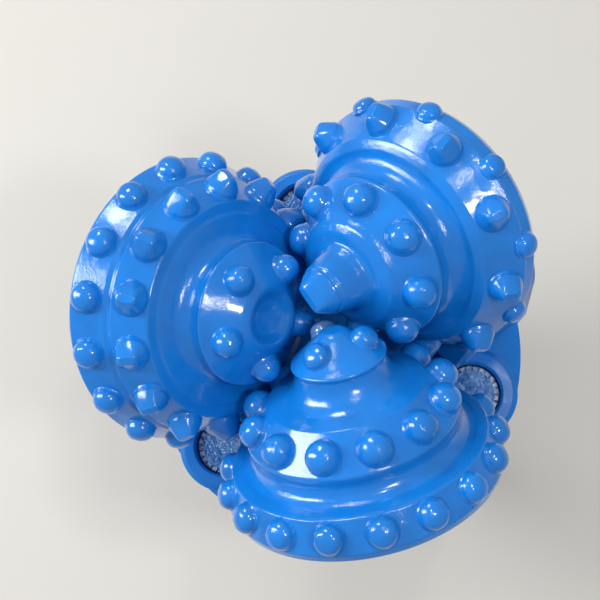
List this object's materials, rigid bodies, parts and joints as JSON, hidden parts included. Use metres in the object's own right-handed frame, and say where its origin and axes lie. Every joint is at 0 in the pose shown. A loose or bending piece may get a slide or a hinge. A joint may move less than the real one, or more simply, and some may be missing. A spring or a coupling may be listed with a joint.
{
  "type": "tricone drill bit",
  "caption": "Tricone rock bit: legs welded round a tapered pin, each with a rolling cone of carbide inserts, jet nozzles between them, painted blue.",
  "frame": {"origin": "centre of the end face of the threaded pin", "axes": "+Z along the bit's axis, from the pin's end towards the cones; +Y is over the journal of cone b, and cones a and c lie at 210 and 330 degrees from +X"},
  "size_m": [0.2099, 0.2049, 0.3328],
  "materials": {
    "enamel_blue": "glossy blue enamel",
    "painted_carbide": "glossy blue enamel over tungsten carbide",
    "painted_plug": "glossy blue enamel over a welded plug",
    "nozzle_carbide": "thin, rough blue overspray on tungsten carbide",
    "cover_disc": "thin, rough blue overspray over a bare disc",
    "retaining_steel": "dull steel with overspray",
    "cap_steel": "glossy blue enamel",
    "black_rubber": "black rubber",
    "bearing_bronze": "turned bearing bronze",
    "ball_steel": "polished bearing steel"
  },
  "bodies": {
    "leg_frame": {"leg_a": "enamel_blue", "weld_bead_a": "enamel_blue", "shirttail_buttons_a": "painted_carbide", "ball_plug_a": "painted_plug", "nozzle_a": "nozzle_carbide", "nozzle_ring_a": "retaining_steel", "nozzle_cover_a": "cover_disc", "nozzle_oring_a": "black_rubber", "reservoir_snap_ring_a": "retaining_steel", "reservoir_cap_a": "cap_steel", "reservoir_diaphragm_a": "black_rubber", "leg_b": "enamel_blue", "weld_bead_b": "enamel_blue", "shirttail_buttons_b": "painted_carbide", "ball_plug_b": "painted_plug", "nozzle_b": "nozzle_carbide", "nozzle_ring_b": "retaining_steel", "nozzle_cover_b": "cover_disc", "nozzle_oring_b": "black_rubber", "reservoir_snap_ring_b": "retaining_steel", "reservoir_cap_b": "cap_steel", "reservoir_diaphragm_b": "black_rubber", "leg_c": "enamel_blue", "weld_bead_c": "enamel_blue", "shirttail_buttons_c": "painted_carbide", "ball_plug_c": "painted_plug", "nozzle_c": "nozzle_carbide", "nozzle_ring_c": "retaining_steel", "nozzle_cover_c": "cover_disc", "nozzle_oring_c": "black_rubber", "reservoir_snap_ring_c": "retaining_steel", "reservoir_cap_c": "cap_steel", "reservoir_diaphragm_c": "black_rubber"},
    "cone_a_assembly": {"cone_a": "enamel_blue", "inserts_inner_a": "painted_carbide", "inserts_second_a": "painted_carbide", "inserts_outer_a": "painted_carbide", "journal_bush_a": "bearing_bronze", "thrust_washer_a": "bearing_bronze", "seal_ring_a": "black_rubber"},
    "balls_a": {"bearing_balls_a": "ball_steel"},
    "cone_b_assembly": {"cone_b": "enamel_blue", "insert_nose_b": "painted_carbide", "inserts_inner_b": "painted_carbide", "inserts_gauge_b": "painted_carbide", "inserts_heel_b": "painted_carbide", "journal_bush_b": "bearing_bronze", "thrust_washer_b": "bearing_bronze", "seal_ring_b": "black_rubber"},
    "balls_b": {"bearing_balls_b": "ball_steel"},
    "cone_c_assembly": {"cone_c": "enamel_blue", "inserts_nose_c": "painted_carbide", "inserts_middle_c": "painted_carbide", "inserts_outer_c": "painted_carbide", "journal_bush_c": "bearing_bronze", "thrust_washer_c": "bearing_bronze", "seal_ring_c": "black_rubber"},
    "balls_c": {"bearing_balls_c": "ball_steel"}
  },
  "joints": [
    {"name": "cone_a_spin", "type": "hinge", "parent": "leg_frame", "child": "cone_a_assembly", "pos_m": [0.003, -0.0052, 0.312], "axis": [-0.7094, -0.4096, -0.5736], "continuous": true},
    {"name": "balls_a_spin", "type": "hinge", "parent": "leg_frame", "child": "balls_a", "pos_m": [0.003, -0.0052, 0.312], "axis": [-0.7094, -0.4096, -0.5736], "continuous": true},
    {"name": "cone_b_spin", "type": "hinge", "parent": "leg_frame", "child": "cone_b_assembly", "pos_m": [-0.006, 0, 0.312], "axis": [0, 0.8192, -0.5736], "continuous": true},
    {"name": "balls_b_spin", "type": "hinge", "parent": "leg_frame", "child": "balls_b", "pos_m": [-0.006, 0, 0.312], "axis": [0, 0.8192, -0.5736], "continuous": true},
    {"name": "cone_c_spin", "type": "hinge", "parent": "leg_frame", "child": "cone_c_assembly", "pos_m": [0.003, 0.0052, 0.312], "axis": [0.7094, -0.4096, -0.5736], "continuous": true},
    {"name": "balls_c_spin", "type": "hinge", "parent": "leg_frame", "child": "balls_c", "pos_m": [0.003, 0.0052, 0.312], "axis": [0.7094, -0.4096, -0.5736], "continuous": true}
  ],
  "couplings": [
    {"joint": "balls_a_spin", "follows": "cone_a_spin", "ratio": 0.6233},
    {"joint": "balls_b_spin", "follows": "cone_b_spin", "ratio": 0.6233},
    {"joint": "balls_c_spin", "follows": "cone_c_spin", "ratio": 0.6233}
  ]
}
